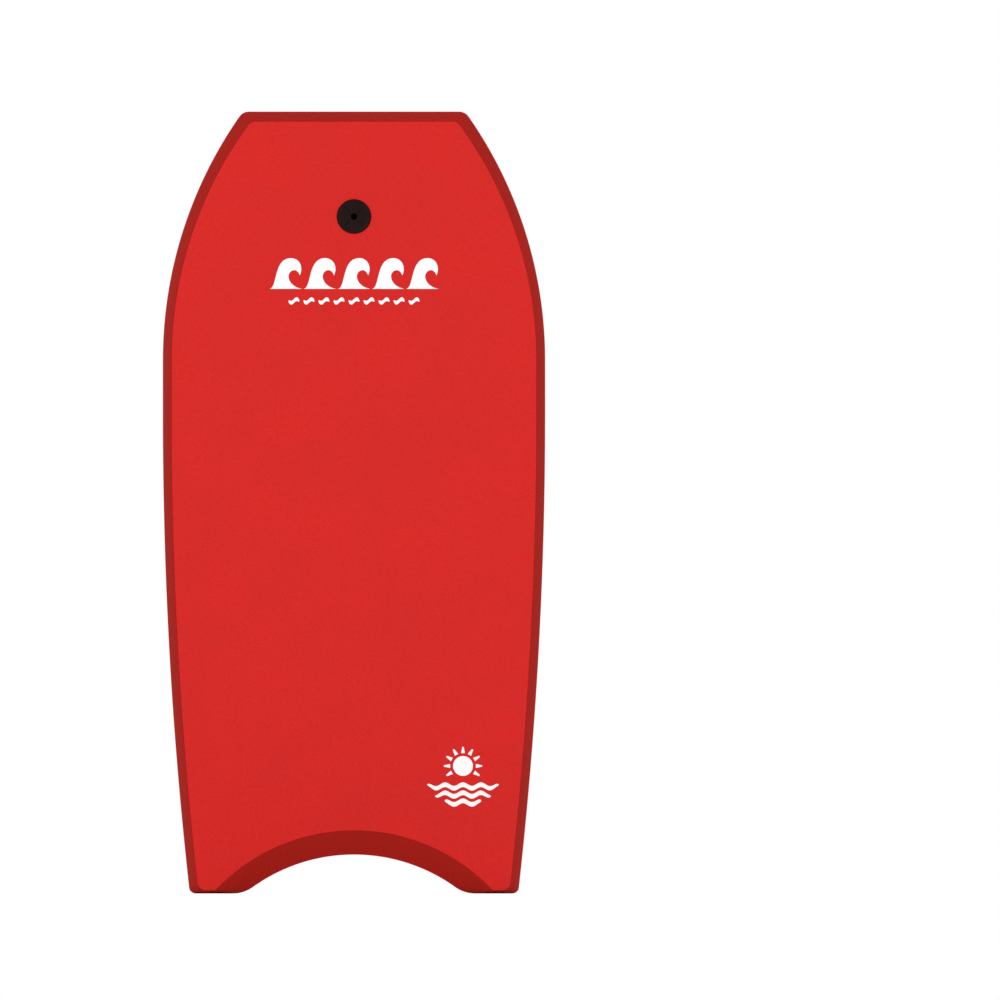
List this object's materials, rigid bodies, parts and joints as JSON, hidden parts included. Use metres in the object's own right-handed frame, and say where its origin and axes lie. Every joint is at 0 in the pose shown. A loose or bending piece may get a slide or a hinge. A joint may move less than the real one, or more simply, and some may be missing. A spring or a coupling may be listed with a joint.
{
  "type": "bodyboard",
  "caption": "Foam bodyboard with a squared nose, crescent tail, bevelled rails, a hard chequered slick with two channels, and a leash plug.",
  "frame": {"origin": "middle of the tail line, halfway through the board's thickness, on the surface that the two tail tips stand on", "axes": "+Z along the board from tail to nose, +X across it, +Y from the deck through to the slick, so the deck faces -Y"},
  "size_m": [0.5226, 0.058, 1.067],
  "materials": {
    "deck_foam": "matte",
    "rail_foam": "matte",
    "chine_foam": "matte",
    "slick_plastic": "gloss",
    "backing_foam": "matte",
    "core_foam": "matte",
    "mesh_plastic": "satin",
    "stringer_fibre": "satin",
    "cap_plastic": "satin",
    "plug_plastic": "satin"
  },
  "bodies": {
    "root": {"core": "core_foam", "stringer": "stringer_fibre", "stringer_nose_cap": "cap_plastic", "stringer_tail_cap": "cap_plastic", "bore_plug": "core_foam", "deck_mesh": "mesh_plastic", "deck_skin": "deck_foam", "slick_mesh": "mesh_plastic", "slick_backing": "backing_foam", "slick_skin": "slick_plastic", "left_rail": "rail_foam", "right_rail": "rail_foam", "nose_rail": "rail_foam", "tail_rail": "rail_foam", "left_chine": "chine_foam", "right_chine": "chine_foam", "nose_chine": "chine_foam", "tail_chine": "chine_foam", "plug_deck_half": "plug_plastic", "plug_slick_half": "plug_plastic"}
  },
  "joints": []
}
